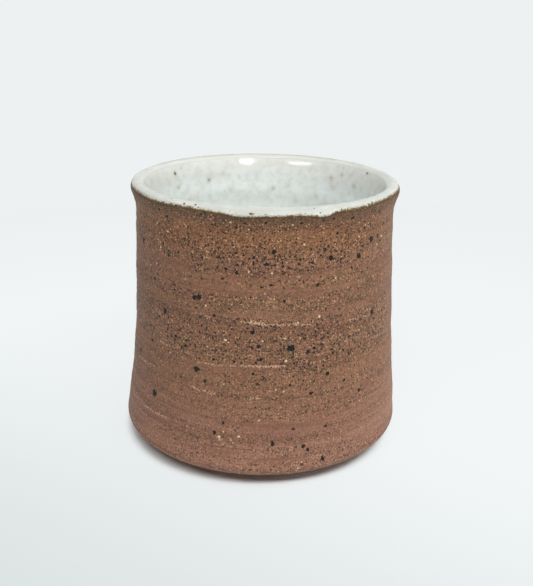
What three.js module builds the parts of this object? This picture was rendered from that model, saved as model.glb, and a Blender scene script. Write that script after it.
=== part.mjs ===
// Stoneware coffee cup without a handle: a thrown clay body on a turned foot, a white glaze poured
// inside it and a white glaze band over its lip.
// Millimetres, +Z up. The origin is on the table, under the middle of the cup.

import * as THREE from 'three';

// Overall sizes
const cupHeight = 80.6;
const rimDiameter = 80;
const baseDiameter = 86.9;

// Wall: a straight taper with a skirt that spreads below it and a neck that flares above it.
// The two wall diameters are those of the taper alone, at the base corner and at the lip.
const wallFootDiameter = 82.9;
const wallTopDiameter = 76.4;
const wallThickness = 4.2;
const skirtReach = 36;
const skirtLeanDegrees = 7.5;
const flareReach = 10;
const flareLeanDegrees = 22;
const lipThickness = 4.24;

// Base: the wall turns in round a corner to an underside that a turned foot ring holds off the table
const baseCornerRadius = 3.4;
const footHeight = 3.2;
const footDiameter = 70;
const footRingWidth = 6;
const footRecessDepth = 2.2;
const floorThickness = 5.5;
const floorFilletRadius = 8;

// Glaze coats, with the small clearance that keeps each coat a piece of its own.
// The rim's coat ends outside this far up the lip roll from where the roll is widest.
const glazeThickness = 0.5;
const glazeClearance = 0.1;
const rimGlazeEdgeDegrees = 22;

// Facets
const turnSegments = 64;
const cornerSteps = 4;
const skirtSteps = 5;
const flareSteps = 3;
const bareLipSteps = 2;
const lipSteps = 8;
const filletSteps = 4;

const rimRadius = rimDiameter / 2;
const baseRadius = baseDiameter / 2;
const wallFootRadius = wallFootDiameter / 2;
const wallTopRadius = wallTopDiameter / 2;
const footRadius = footDiameter / 2;
const lipRadius = lipThickness / 2;
const skirtLean = THREE.MathUtils.degToRad(skirtLeanDegrees);
const flareLean = THREE.MathUtils.degToRad(flareLeanDegrees);

const lipCentre = new THREE.Vector2(rimRadius - lipRadius, cupHeight - lipRadius);
const cornerCentre = new THREE.Vector2(baseRadius - baseCornerRadius, footHeight + baseCornerRadius);
const floorHeight = footHeight + floorThickness;

// Points on an arc of the profile, both ends included
function arcPoints(centre, radius, fromAngle, toAngle, steps) {
  const points = [];
  for (let step = 0; step <= steps; step += 1) {
    const angle = fromAngle + ((toAngle - fromAngle) * step) / steps;
    const across = centre.x + radius * Math.cos(angle);
    const up = centre.y + radius * Math.sin(angle);
    points.push(new THREE.Vector2(across, up));
  }
  return points;
}

// Points on a smooth curve that leaves one point and reaches the next in the given directions.
// With handles of a third of its reach it is a parabola wherever the two directions allow one.
function easedPoints(from, leaving, to, arriving, reach, steps) {
  const handle = reach / 3;
  const firstHandle = from.clone().addScaledVector(leaving, handle);
  const lastHandle = to.clone().addScaledVector(arriving, -handle);
  return new THREE.CubicBezierCurve(from, firstHandle, lastHandle, to).getPoints(steps);
}

// The straight taper between the skirt and the neck
const taperFoot = new THREE.Vector2(wallFootRadius, cornerCentre.y);
const taperTop = new THREE.Vector2(wallTopRadius, lipCentre.y);
const taperDirection = taperTop.clone().sub(taperFoot).normalize();

function taperPoint(height) {
  const share = (height - taperFoot.y) / (taperTop.y - taperFoot.y);
  return taperFoot.clone().lerp(taperTop, share);
}

const skirtDirection = new THREE.Vector2(-Math.sin(skirtLean), Math.cos(skirtLean));
const flareDirection = new THREE.Vector2(Math.sin(flareLean), Math.cos(flareLean));
const skirtEnd = taperPoint(cornerCentre.y + skirtReach);
const flareStart = taperPoint(lipCentre.y - flareReach);

// Where the lip roll meets the wall, outside and inside, and where its coat ends outside,
// as angles about the lip's centre
const lipOuterAngle = -flareLean;
const lipInnerAngle = Math.PI - flareLean;
const glazeEdgeAngle = THREE.MathUtils.degToRad(rimGlazeEdgeDegrees);

// A point of the lip roll, so far below its finished surface
function lipPoint(angle, depth) {
  return arcPoints(lipCentre, lipRadius - depth, angle, angle, 1)[0];
}

// Outside of the wall, from the underside up to the lip
const cornerPoints = arcPoints(cornerCentre, baseCornerRadius, -Math.PI / 2, skirtLean, cornerSteps);
const skirtStart = cornerPoints[cornerSteps];
const skirtPoints = easedPoints(skirtStart, skirtDirection, skirtEnd, taperDirection, skirtReach, skirtSteps);
const outerNeck = lipPoint(lipOuterAngle, 0);
const flarePoints = easedPoints(flareStart, taperDirection, outerNeck, flareDirection, flareReach, flareSteps);
const outerWall = [...cornerPoints, ...skirtPoints.slice(1), ...flarePoints];

// Radius of the outside at a height, from the points of the wall either side of it
function outerRadius(height) {
  const above = outerWall.findIndex((point) => point.y >= height);
  const low = outerWall[above - 1];
  const high = outerWall[above];
  return low.x + ((high.x - low.x) * (height - low.y)) / (high.y - low.y);
}

const filletTop = floorHeight + floorFilletRadius;
const filletCentre = new THREE.Vector2(outerRadius(filletTop) - wallThickness - floorFilletRadius, filletTop);

// Inside of the cup from the middle of the floor up to the lip, so far below the finished surface
function innerWall(depth) {
  const inward = new THREE.Vector2(depth - wallThickness, 0);
  const floorMiddle = new THREE.Vector2(0, floorHeight - depth);
  const fillet = arcPoints(filletCentre, floorFilletRadius + depth, -Math.PI / 2, 0, filletSteps);
  const skirt = skirtPoints.filter((point) => point.y > filletTop + floorFilletRadius / filletSteps);
  const skirtInside = skirt.map((point) => point.clone().add(inward));
  const neckStart = flareStart.clone().add(inward);
  const neckEnd = lipPoint(lipInnerAngle, depth);
  const neck = easedPoints(neckStart, taperDirection, neckEnd, flareDirection, flareReach, flareSteps);
  return [floorMiddle, ...fillet, ...skirtInside, ...neck];
}

// A closed ring or bowl, turned about the cup's axis
function turned(profile) {
  const geometry = new THREE.LatheGeometry(profile, turnSegments);
  geometry.rotateX(Math.PI / 2);
  return geometry;
}

function piece(name, geometry, color, roughness) {
  const material = new THREE.MeshStandardMaterial({ color, roughness, metalness: 0 });
  const mesh = new THREE.Mesh(geometry, material);
  mesh.name = name;
  return mesh;
}

// Clay: foot ring with its hollow, underside, wall, the bare part of the lip, the lip's core below
// a ledge that the coat ends on, and the inside
function stonewareBody() {
  const clayDepth = glazeThickness + glazeClearance;
  const footInnerRadius = footRadius - footRingWidth;
  const foot = [
    new THREE.Vector2(0, footRecessDepth),
    new THREE.Vector2(footInnerRadius, footRecessDepth),
    new THREE.Vector2(footInnerRadius, 0),
    new THREE.Vector2(footRadius, 0),
    new THREE.Vector2(footRadius, footHeight),
  ];
  const bareLip = arcPoints(lipCentre, lipRadius, lipOuterAngle, glazeEdgeAngle, bareLipSteps).slice(1);
  const lipCore = arcPoints(lipCentre, lipRadius - clayDepth, glazeEdgeAngle, lipInnerAngle, lipSteps);
  const inside = innerWall(clayDepth).reverse().slice(1);
  return turned([...foot, ...outerWall, ...bareLip, ...lipCore, ...inside]);
}

// White coat on the floor and wall inside
function linerGlaze() {
  const face = innerWall(0).reverse();
  const back = innerWall(glazeThickness);
  return turned([...back, ...face]);
}

// White coat over the lip, from the ledge in the clay outside to the liner inside
function rimGlaze() {
  const seamAngle = glazeClearance / (lipRadius - glazeThickness);
  const from = glazeEdgeAngle + seamAngle;
  const to = lipInnerAngle - seamAngle;
  const face = arcPoints(lipCentre, lipRadius, from, to, lipSteps);
  const back = arcPoints(lipCentre, lipRadius - glazeThickness, to, from, lipSteps);
  return turned([...face, ...back, face[0]]);
}

const clayColour = 0x86644f;
const linerColour = 0xd9dfdb;
const rimColour = 0xe4e7e2;
const clayRoughness = 0.9;
const glazeRoughness = 0.22;

const cup = new THREE.Group();
cup.add(piece('stoneware_body', stonewareBody(), clayColour, clayRoughness));
cup.add(piece('liner_glaze', linerGlaze(), linerColour, glazeRoughness));
cup.add(piece('rim_glaze', rimGlaze(), rimColour, glazeRoughness));

export default cup;
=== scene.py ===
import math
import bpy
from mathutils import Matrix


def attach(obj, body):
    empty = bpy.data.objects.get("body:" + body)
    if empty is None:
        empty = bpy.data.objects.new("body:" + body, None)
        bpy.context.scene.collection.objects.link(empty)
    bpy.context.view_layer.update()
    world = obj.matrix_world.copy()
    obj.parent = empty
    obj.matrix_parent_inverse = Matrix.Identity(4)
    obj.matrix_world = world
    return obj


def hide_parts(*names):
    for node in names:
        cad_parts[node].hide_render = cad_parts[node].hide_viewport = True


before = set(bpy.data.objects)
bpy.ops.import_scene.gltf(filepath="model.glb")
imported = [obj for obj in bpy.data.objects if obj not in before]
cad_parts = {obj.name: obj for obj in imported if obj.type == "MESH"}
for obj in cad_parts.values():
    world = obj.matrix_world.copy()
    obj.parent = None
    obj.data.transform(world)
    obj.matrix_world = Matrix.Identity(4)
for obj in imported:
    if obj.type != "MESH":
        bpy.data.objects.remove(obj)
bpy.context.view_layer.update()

# Looks of a handle-less stoneware coffee cup: a bare speckled clay wall with throwing lines and iron
# spots, and a white glaze inside and over the lip. Sizes are in millimetres and angles in degrees
# unless a name or comment says otherwise. Meshes, lamps and shader coordinates are in metres.

from types import SimpleNamespace

import bpy
import numpy as np
from mathutils import Matrix

MM = 0.001
TURN = 2 * math.pi

# Turned shape, as in the CAD model
CUP_HEIGHT = 80.6
RIM_RADIUS = 40.0
BASE_RADIUS = 43.45
TAPER_FOOT_RADIUS = 41.45
TAPER_TOP_RADIUS = 38.2
WALL_THICKNESS = 4.2
SKIRT_REACH = 36.0
SKIRT_LEAN = 7.5
FLARE_REACH = 10.0
FLARE_LEAN = 22.0
LIP_RADIUS = 2.12
CORNER_RADIUS = 3.4
FOOT_HEIGHT = 3.2
FOOT_RADIUS = 35.0
FOOT_RING_WIDTH = 6.0
FOOT_RECESS = 2.2
FLOOR_THICKNESS = 5.5
FLOOR_FILLET = 8.0
GLAZE_COAT = 0.5
GLAZE_BED = 0.6

# Small roundings of the foot, how far its hollow's wall is moved in, and the first ring by the axis
FOOT_EDGE = 0.8
HOLLOW_FILLET = 1.0
UNDERSIDE_FILLET = 0.9
HOLLOW_EASE = 0.2
FIRST_RING = 0.8

# The cup isn't quite true: at these heights its middle is off the axis to the right by so much
SWAY_HEIGHTS = [0.0, 8.0, 19.0, 32.0, 47.0, 65.0, 81.0]
SWAY_OFFSETS = [-0.2, -0.12, 0.34, 0.46, 0.46, 0.18, 0.26]
SWAY_SMOOTHING = (-5, -2.5, 0, 2.5, 5)

# Mesh fineness: steps round the cup, and the spacing of rings where they show and where they don't
BODY_COLUMNS = 448
GLAZE_COLUMNS = 512
WALL_STEP = 0.46
LINER_STEP = 0.5
FOOT_STEP = 1.0
BURIED_CLAY_STEP = 6.0
BURIED_GLAZE_STEP = 5.0
SHARP_ANGLE = 60

# The photograph's frame and the camera that took it
IMAGE_WIDTH = 533
IMAGE_HEIGHT = 586
SENSOR_WIDTH = 36.0
FOCAL_PIXELS = 809.7
CAMERA_DISTANCE = 240.0
CAMERA_HEIGHT = 131.25
CAMERA_PITCH = 20.09
CAMERA_YAW = 0.28
CAMERA_ROLL = 1.02

# Distances from the camera that are searched for the outer wall, the far inner wall and the near lip
OUTSIDE_REACH = np.arange(150, 330, 0.02)
INSIDE_REACH = np.arange(220, 420, 0.02)
LIP_REACH = np.arange(180, 300, 0.01)


# Small helpers


def linear(red, green, blue):
    """A colour as seen on screen, 0 to 255, as the linear values that shaders take."""
    out = []
    for value in (red, green, blue):
        share = value / 255
        out.append(share / 12.92 if share <= 0.04045 else ((share + 0.055) / 1.055) ** 2.4)
    return (*out, 1.0)


def smoothstep(low, high, value):
    share = np.clip((value - low) / (high - low), 0, 1)
    return share * share * (3 - 2 * share)


def columns_of(count):
    """Angles of evenly spaced steps round the cup."""
    return np.linspace(0, TURN, count, endpoint=False)


def angle_between(theta, angle):
    """The turn from an angle to theta, the short way round."""
    return np.mod(theta - angle + math.pi, TURN) - math.pi


def sway(height):
    """How far the cup's middle is off the axis, to the right."""
    near = [np.interp(height + step, SWAY_HEIGHTS, SWAY_OFFSETS) for step in SWAY_SMOOTHING]
    return sum(near) / len(near)


NOISE_SPAN = 160
NOISE_START = 20


def smooth_noise(theta, height, cells_round, cell_height, seed):
    """Smooth random values from -1 to 1 over angle and height, joining up where the turn closes."""
    rows = int(NOISE_SPAN / cell_height) + 4
    table = np.random.default_rng(seed).uniform(-1, 1, (rows, cells_round))
    across = np.mod(theta / TURN, 1) * cells_round
    up = (height + NOISE_START) / cell_height
    column = np.floor(across).astype(int)
    row = np.floor(up).astype(int)
    u = smoothstep(0, 1, across - column)
    v = smoothstep(0, 1, up - row)
    left = column % cells_round
    right = (column + 1) % cells_round
    low = table[row, left] * (1 - u) + table[row, right] * u
    high = table[row + 1, left] * (1 - u) + table[row + 1, right] * u
    return low * (1 - v) + high * v


def ring_noise(theta, cells_round, seed):
    """Smooth random values from -1 to 1 over angle alone."""
    return smooth_noise(theta, np.zeros_like(theta), cells_round, 5.0, seed)


# Profile of the turned shape, as points of radius and height


def direction(degrees_from_up):
    lean = math.radians(degrees_from_up)
    return np.array([math.sin(lean), math.cos(lean)])


def arc(centre, radius, start, end, steps):
    angle = np.radians(np.linspace(start, end, steps + 1))
    return np.stack([centre[0] + radius * np.cos(angle), centre[1] + radius * np.sin(angle)], 1)


def eased(start, leaving, end, arriving, reach, steps):
    """A smooth curve that leaves one point and reaches the next in the given directions."""
    handles = [start, start + leaving * reach / 3, end - arriving * reach / 3, end]
    t = np.linspace(0, 1, steps + 1)[:, None]
    weights = [(1 - t) ** 3, 3 * t * (1 - t) ** 2, 3 * t ** 2 * (1 - t), t ** 3]
    return sum(weight * handle for weight, handle in zip(weights, handles))


def spaced(points, step):
    """The same line with evenly spaced points, about a step apart."""
    lengths = np.r_[0, np.cumsum(np.linalg.norm(np.diff(points, axis=0), axis=1))]
    at = np.linspace(0, lengths[-1], max(2, int(round(lengths[-1] / step)) + 1))
    return np.stack([np.interp(at, lengths, points[:, 0]), np.interp(at, lengths, points[:, 1])], 1)


LIP_CENTRE = np.array([RIM_RADIUS - LIP_RADIUS, CUP_HEIGHT - LIP_RADIUS])
CORNER_CENTRE = np.array([BASE_RADIUS - CORNER_RADIUS, FOOT_HEIGHT + CORNER_RADIUS])
FLOOR_HEIGHT = FOOT_HEIGHT + FLOOR_THICKNESS
TAPER_FOOT = np.array([TAPER_FOOT_RADIUS, CORNER_CENTRE[1]])
TAPER_TOP = np.array([TAPER_TOP_RADIUS, LIP_CENTRE[1]])
TAPER_DIRECTION = (TAPER_TOP - TAPER_FOOT) / np.linalg.norm(TAPER_TOP - TAPER_FOOT)
LIP_OUTER = -FLARE_LEAN
LIP_INNER = 180 - FLARE_LEAN


def taper_point(height):
    share = (height - TAPER_FOOT[1]) / (TAPER_TOP[1] - TAPER_FOOT[1])
    return TAPER_FOOT + (TAPER_TOP - TAPER_FOOT) * share


def lip_point(degrees, radius):
    return arc(LIP_CENTRE, radius, degrees, degrees, 1)[0]


def outer_line():
    """Outside of the wall, from the underside round the base corner up to the lip roll."""
    corner = arc(CORNER_CENTRE, CORNER_RADIUS, -90, SKIRT_LEAN, 40)
    skirt_end = taper_point(CORNER_CENTRE[1] + SKIRT_REACH)
    skirt = eased(corner[-1], direction(-SKIRT_LEAN), skirt_end, TAPER_DIRECTION, SKIRT_REACH, 120)
    flare_start = taper_point(LIP_CENTRE[1] - FLARE_REACH)
    neck = lip_point(LIP_OUTER, LIP_RADIUS)
    flare = eased(flare_start, TAPER_DIRECTION, neck, direction(FLARE_LEAN), FLARE_REACH, 60)
    return np.concatenate([corner, skirt[1:], flare])


OUTER = outer_line()


def outer_radius(height):
    """Radius of the plain wall at a height."""
    return np.interp(height, OUTER[:, 1], OUTER[:, 0])


def inner_line(depth):
    """Inside of the cup from the middle of the floor up to the lip, so far below the finished surface."""
    fillet_top = FLOOR_HEIGHT + FLOOR_FILLET
    fillet_centre = np.array([outer_radius(fillet_top) - WALL_THICKNESS - FLOOR_FILLET, fillet_top])
    fillet = arc(fillet_centre, FLOOR_FILLET + depth, -90, 0, 30)
    heights = np.linspace(fillet_top + 1, LIP_CENTRE[1] - FLARE_REACH, 90)
    wall = np.stack([outer_radius(heights) - WALL_THICKNESS + depth, heights], 1)
    neck_end = lip_point(LIP_INNER, LIP_RADIUS - depth)
    neck = eased(wall[-1], TAPER_DIRECTION, neck_end, direction(FLARE_LEAN), FLARE_REACH, 40)
    return np.concatenate([[[0, FLOOR_HEIGHT - depth]], fillet, wall, neck[1:]])


INNER = inner_line(0)


def clay_lip_radius(degrees):
    """Radius of the clay's own lip roll: full where it is bare outside, less where the glaze covers it."""
    return LIP_RADIUS - GLAZE_COAT * smoothstep(15, 75, degrees)


def foot_line():
    """Underside from near the axis: the hollow, the rounded foot ring and the underside outside it."""
    hollow = FOOT_RADIUS - FOOT_RING_WIDTH - HOLLOW_EASE
    return np.concatenate([
        [[FIRST_RING, FOOT_RECESS], [hollow - 2 * HOLLOW_FILLET, FOOT_RECESS]],
        arc((hollow - HOLLOW_FILLET, FOOT_RECESS - HOLLOW_FILLET), HOLLOW_FILLET, 90, 0, 8),
        arc((hollow + FOOT_EDGE, FOOT_EDGE), FOOT_EDGE, 180, 270, 8),
        arc((FOOT_RADIUS - FOOT_EDGE, FOOT_EDGE), FOOT_EDGE, 270, 360, 8),
        arc((FOOT_RADIUS + UNDERSIDE_FILLET, FOOT_HEIGHT - UNDERSIDE_FILLET), UNDERSIDE_FILLET, 180, 90, 8),
    ])


# Camera, and where a pixel of the photograph meets the cup


def camera_axes():
    pitch, yaw, roll = (math.radians(x) for x in (CAMERA_PITCH, CAMERA_YAW, CAMERA_ROLL))
    ahead = np.array([math.sin(yaw) * math.cos(pitch), math.cos(yaw) * math.cos(pitch), -math.sin(pitch)])
    right = np.array([math.cos(yaw), -math.sin(yaw), 0.0])
    up = np.cross(right, ahead)
    rolled_right = right * math.cos(roll) + up * math.sin(roll)
    rolled_up = up * math.cos(roll) - right * math.sin(roll)
    return rolled_right, rolled_up, ahead


CAMERA_PLACE = np.array([0.0, -CAMERA_DISTANCE, CAMERA_HEIGHT])


def pixel_ray(x, y, reach):
    """Points along the line of sight through a pixel, so many millimetres from the camera, as they
    lie about the cup's axis, and their distance from it."""
    right, up, ahead = camera_axes()
    sight = ahead * FOCAL_PIXELS + right * (x - IMAGE_WIDTH / 2) - up * (y - IMAGE_HEIGHT / 2)
    points = CAMERA_PLACE + sight / np.linalg.norm(sight) * reach[:, None]
    points[:, 0] -= sway(points[:, 2])
    return points, np.hypot(points[:, 0], points[:, 1])


def outside_at(x, y):
    """Angle and height where a pixel meets the outer wall."""
    points, radius = pixel_ray(x, y, OUTSIDE_REACH)
    hit = points[np.argmax(radius <= outer_radius(points[:, 2]))]
    return math.atan2(hit[1], hit[0]), hit[2]


def inside_at(x, y):
    """Angle and height where a pixel meets the far inner wall."""
    points, radius = pixel_ray(x, y, INSIDE_REACH)
    wall = np.interp(points[:, 2], INNER[1:, 1], INNER[1:, 0])
    first = np.argmax((radius < wall - 0.5) & (points[:, 2] < CUP_HEIGHT))
    hit = points[first + np.argmax(radius[first:] >= wall[first:])]
    return math.atan2(hit[1], hit[0]), hit[2]


def lip_at(x, y):
    """Angle round the cup and up the lip roll where a pixel meets the near side of the lip."""
    points, radius = pixel_ray(x, y, LIP_REACH)
    across = radius - LIP_CENTRE[0]
    up = points[:, 2] - LIP_CENTRE[1]
    first = np.argmax(np.hypot(across, up) <= LIP_RADIUS + 0.05)
    hit = points[first]
    return math.atan2(hit[1], hit[0]), math.degrees(math.atan2(up[first], across[first]))


# Relief of the clay wall

RING_PITCH = 3.7
RING_DEPTH = 0.045
SWELL_PITCH = 13.0
SWELL_DEPTH = 0.11
LINE_DEPTH = 0.02
GRIT_DEPTH = 0.03
BURR_HEIGHT = 0.12

# Towards the lip the relief dies out, between the first two heights. Low down, below the next two, the
# wall is set in by the depth of the relief, so that the cup isn't widened; the grit is too, below the last.
LIP_CALM = (74, 79)
HELD_IN_SKIRT = (14, 30)
SET_IN_GRIT = 12

# Burrs where a tool dragged the clay: the first and last pixel of each, its half width and strength
DRAG_MARKS = [
    ((245, 322), (271, 325), 0.55, 1.0),
    ((266, 324.5), (314, 324), 0.3, 0.9),
    ((190, 361), (246, 366), 0.26, 0.7),
    ((240, 365.5), (288, 366), 0.34, 1.0),
    ((288, 366), (372, 346), 0.22, 0.35),
    ((243, 397.5), (262, 398.5), 0.35, 0.8),
    ((252, 293.5), (276, 294.5), 0.22, 0.6),
    ((240, 297), (292, 298), 0.25, 0.5),
    ((190, 312), (213, 316.5), 0.3, 0.6),
    ((176, 278), (200, 281), 0.2, 0.5),
    ((159, 340), (170, 347.5), 0.4, 0.75),
    ((139, 355), (157, 367), 0.3, 0.7),
    ((144, 404), (171, 420), 0.4, 0.7),
    ((168, 418), (205, 433), 0.3, 0.4),
    ((133, 392), (146, 403), 0.3, 0.5),
    ((188, 385), (218, 395), 0.45, 0.75),
    ((345, 321), (377, 310.5), 0.25, 0.75),
    ((375, 336), (388, 328), 0.3, 0.5),
    ((375, 405), (388, 397), 0.3, 0.45),
    ((310, 458), (323, 455.5), 0.3, 0.6),
    ((214, 434), (226, 446), 0.7, 0.6),
    ((318, 361), (352, 352), 0.2, 0.3),
]

# Smooth darker strips between the rough ones, in the same form
SMOOTH_STRIPS = [
    ((159, 238), (185, 247), 0.5, 0.9),
    ((182, 247), (264, 255.5), 0.45, 0.7),
    ((205, 274.5), (264, 277), 1.2, 0.5),
    ((260, 277), (330, 271.5), 1.0, 0.4),
    ((216, 291.5), (262, 294.5), 0.5, 0.6),
    ((292, 293), (324, 291), 0.8, 0.5),
    ((303, 359.5), (354, 352.5), 1.2, 0.5),
    ((181, 352.5), (191, 361), 0.6, 0.6),
    ((145, 408.5), (177, 427), 0.5, 0.7),
    ((250, 427.5), (318, 425), 1.3, 0.5),
    ((255, 460), (306, 457.5), 0.5, 0.8),
    ((168, 260), (190, 268), 0.8, 0.6),
    ((330, 330), (372, 318), 0.8, 0.5),
    ((196, 444), (240, 455), 0.7, 0.6),
]

HIDDEN_LINES = 16


def with_hidden(marks, widths, seed):
    """Photographed lines and, round the back, others like them: angle and height of both ends,
    half width and strength."""
    lines = []
    for first, last, half_width, strength in marks:
        lines.append((*outside_at(*first), *outside_at(*last), half_width, strength))
    rng = np.random.default_rng(seed)
    for _ in range(HIDDEN_LINES):
        angle = rng.uniform(0.05, 0.85) * math.pi
        height = rng.uniform(10, 68)
        end_angle = angle + rng.uniform(0.1, 0.6)
        end_height = height + rng.uniform(-0.8, 0.8)
        lines.append((angle, height, end_angle, end_height, rng.uniform(*widths), rng.uniform(0.4, 1.0)))
    return lines


BURRS = with_hidden(DRAG_MARKS, (0.22, 0.45), 41)
STRIPS = with_hidden(SMOOTH_STRIPS, (0.4, 1.3), 67)


def line_strength(lines, theta, height):
    """How much of the wall belongs to one of the lines, from 0 to 1."""
    total = np.zeros_like(theta)
    for start_angle, start_height, end_angle, end_height, half_width, strength in lines:
        share = angle_between(theta, start_angle) / (end_angle - start_angle)
        middle = start_height + (end_height - start_height) * share
        ends = smoothstep(-0.04, 0.14, share) * (1 - smoothstep(0.84, 1.04, share))
        total = np.maximum(total, strength * ends * np.exp(-((height - middle) / half_width) ** 2))
    return total


def wall_relief(theta, height):
    """How far the clay stands out from the plain wall."""
    slow = smooth_noise(theta, height, 5, 12.0, 3)
    swell = SWELL_DEPTH * (0.6 * np.sin(TURN * height / SWELL_PITCH + 0.8 * slow) + 0.5 * slow)
    turn = height / RING_PITCH + theta / TURN + 0.35 * smooth_noise(theta, height, 7, 5.0, 5)
    uneven = 0.55 + 0.45 * smooth_noise(theta, height, 9, 6.0, 7)
    rings = RING_DEPTH * uneven * (np.sin(TURN * turn) + 0.5 * np.sin(2 * TURN * turn + 1.1))
    lines = LINE_DEPTH * smooth_noise(theta, height, 6, 0.9, 11)
    grit = GRIT_DEPTH * smooth_noise(theta, height, 210, 1.2, 13)
    crumbled = 0.7 + 0.6 * smooth_noise(theta, height, 190, 1.1, 17)
    burr = BURR_HEIGHT * line_strength(BURRS, theta, height) * crumbled
    calm = smoothstep(FOOT_HEIGHT, FOOT_HEIGHT + 3, height) * (1 - 0.8 * smoothstep(*LIP_CALM, height))
    held_in = (SWELL_DEPTH + RING_DEPTH) * (1 - smoothstep(*HELD_IN_SKIRT, height))
    return calm * (swell + rings + lines + burr - held_in) + grit - GRIT_DEPTH * (height < SET_IN_GRIT)


def wall_radius(theta, height):
    """Radius of the clay wall with its relief."""
    return outer_radius(height) + wall_relief(theta, height)


# Uneven outer edge of the rim's glaze, as an angle up the lip roll

GLAZE_EDGE = 25.0

# Pixels along the edge as it was photographed, from left to right
EDGE_PIXELS = [
    (140, 194), (150, 199.5), (160, 203), (172, 206), (188, 208.3), (205, 211), (217, 212.8),
    (227, 215), (234, 217.2), (243, 218), (252, 217.6), (262, 217.4), (275, 217.2), (287, 216.7),
    (298, 215.8), (310, 216.4), (320, 217.2), (327, 216.8), (332, 214.4), (336, 212.6), (345, 211.2),
    (356, 209.2), (368, 206.4), (380, 202.4), (390, 197),
]


# How far the edge wavers, slowly and finely, and how far its lobes and runs go round the back
EDGE_WAVER = 2.2
EDGE_RAGGEDNESS = 1.2
EDGE_LOBES = 5
EDGE_RUNS = 14


def glaze_edge(theta):
    seen = np.array([lip_at(*pixel) for pixel in EDGE_PIXELS])
    angle = np.r_[0, math.pi, np.mod(seen[:, 0], TURN), TURN]
    edge = np.interp(np.mod(theta, TURN), angle, np.r_[GLAZE_EDGE, GLAZE_EDGE, seen[:, 1], GLAZE_EDGE])
    edge = edge + EDGE_WAVER * ring_noise(theta, 84, 23) + EDGE_RAGGEDNESS * ring_noise(theta, 230, 29)
    behind = smoothstep(-0.3, 0.3, np.sin(theta))
    lobes = EDGE_LOBES * ring_noise(theta, 26, 19)
    runs = EDGE_RUNS * np.maximum(0, ring_noise(theta, 14, 31))
    return edge + behind * (lobes - runs)


# Meshes


def linked_piece(name, points, faces):
    """A smooth-shaded object made from points in millimetres."""
    mesh = bpy.data.meshes.new(name)
    mesh.from_pydata((points * MM).tolist(), [], faces)
    mesh.update()
    mesh.polygons.foreach_set("use_smooth", [True] * len(mesh.polygons))
    piece = bpy.data.objects.new(name, mesh)
    bpy.context.scene.collection.objects.link(piece)
    return piece


def turned_piece(name, radius, height, attributes, loop_rows):
    """A mesh of rings: radius and height have a row for each ring and a column for each step round.
    The rings close into a loop, or each end ring is closed at the axis."""
    rows, columns = radius.shape
    theta = columns_of(columns)
    points = np.stack([radius * np.cos(theta) + sway(height), radius * np.sin(theta), height], 2)
    points = points.reshape(-1, 3)
    here = np.arange(rows * columns).reshape(rows, columns)
    if loop_rows:
        here = np.concatenate([here, here[:1]])
    following = np.roll(here, -1, axis=1)
    faces = np.stack([here[:-1], following[:-1], following[1:], here[1:]], 2).reshape(-1, 4).tolist()
    if not loop_rows:
        poles = np.array([[0, 0, height[0].mean()], [0, 0, height[-1].mean()]])
        first = np.full(columns, len(points))
        points = np.concatenate([points, poles])
        faces += np.stack([first, following[0], here[0]], 1).tolist()
        faces += np.stack([first + 1, here[-1], following[-1]], 1).tolist()
    piece = linked_piece(name, points, faces)
    for key, values in attributes.items():
        layer = piece.data.attributes.new(key, "FLOAT", "POINT")
        flat = np.zeros(len(points), np.float32)
        flat[: values.size] = values.ravel()
        layer.data.foreach_set("value", flat)
    piece.data.set_sharp_from_angle(angle=math.radians(SHARP_ANGLE))
    return piece


def turned_grid(line, columns):
    """Radius, height and angle of each point when a profile line is turned."""
    radius = np.repeat(line[:, :1], columns, 1)
    height = np.repeat(line[:, 1:], columns, 1)
    around = np.repeat(columns_of(columns)[None], len(line), 0)
    return radius, height, around


def rows_between(count, first, last):
    """1 for the rings from first up to last, and 0 for the others."""
    rows = np.zeros((count, 1))
    rows[first:last] = 1
    return rows


# Turning marks under the foot: radians per millimetre from the axis, depth and unevenness. What is lower
# than the last height stands on the table and has none.
GROOVE_TURN = 2.9
GROOVE_DEPTH = 0.05
GROOVE_UNEVENNESS = 0.03
GROOVE_SHARE = 0.6
STANDING_HEIGHT = 0.05


def stoneware_body():
    foot = spaced(foot_line(), FOOT_STEP)
    wall = spaced(OUTER, WALL_STEP)
    lip_angles = np.r_[np.linspace(LIP_OUTER, 60, 16)[1:], np.linspace(60, LIP_INNER, 8)[1:]]
    lip = np.array([lip_point(a, clay_lip_radius(a)) for a in lip_angles])
    inside = spaced(inner_line(GLAZE_BED)[::-1], BURIED_CLAY_STEP)[1:-1]
    line = np.concatenate([foot, wall, lip, inside])
    radius, height, around = turned_grid(line, BODY_COLUMNS)
    on_foot = rows_between(len(line), 0, len(foot))
    on_wall = rows_between(len(line), len(foot), len(foot) + len(wall))
    relief = wall_relief(around, height) * on_wall
    rings = np.sin(radius * GROOVE_TURN + 0.6 * np.sin(around))
    grooves = GROOVE_DEPTH * rings + GROOVE_UNEVENNESS * smooth_noise(around, radius, 40, 1.6, 37)
    grooved = on_foot * np.abs(grooves) * (height > STANDING_HEIGHT)
    radius = radius + relief
    height = np.maximum(height - grooved * GROOVE_SHARE, 0)
    edge_height = LIP_CENTRE[1] + LIP_RADIUS * np.sin(np.radians(glaze_edge(around)))
    attributes = {
        "below_glaze": edge_height - height,
        "burr": line_strength(BURRS, around, height) * on_wall,
        "strip": line_strength(STRIPS, around, height) * on_wall,
    }
    return turned_piece("stoneware_body", radius, height, attributes, False)


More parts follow.
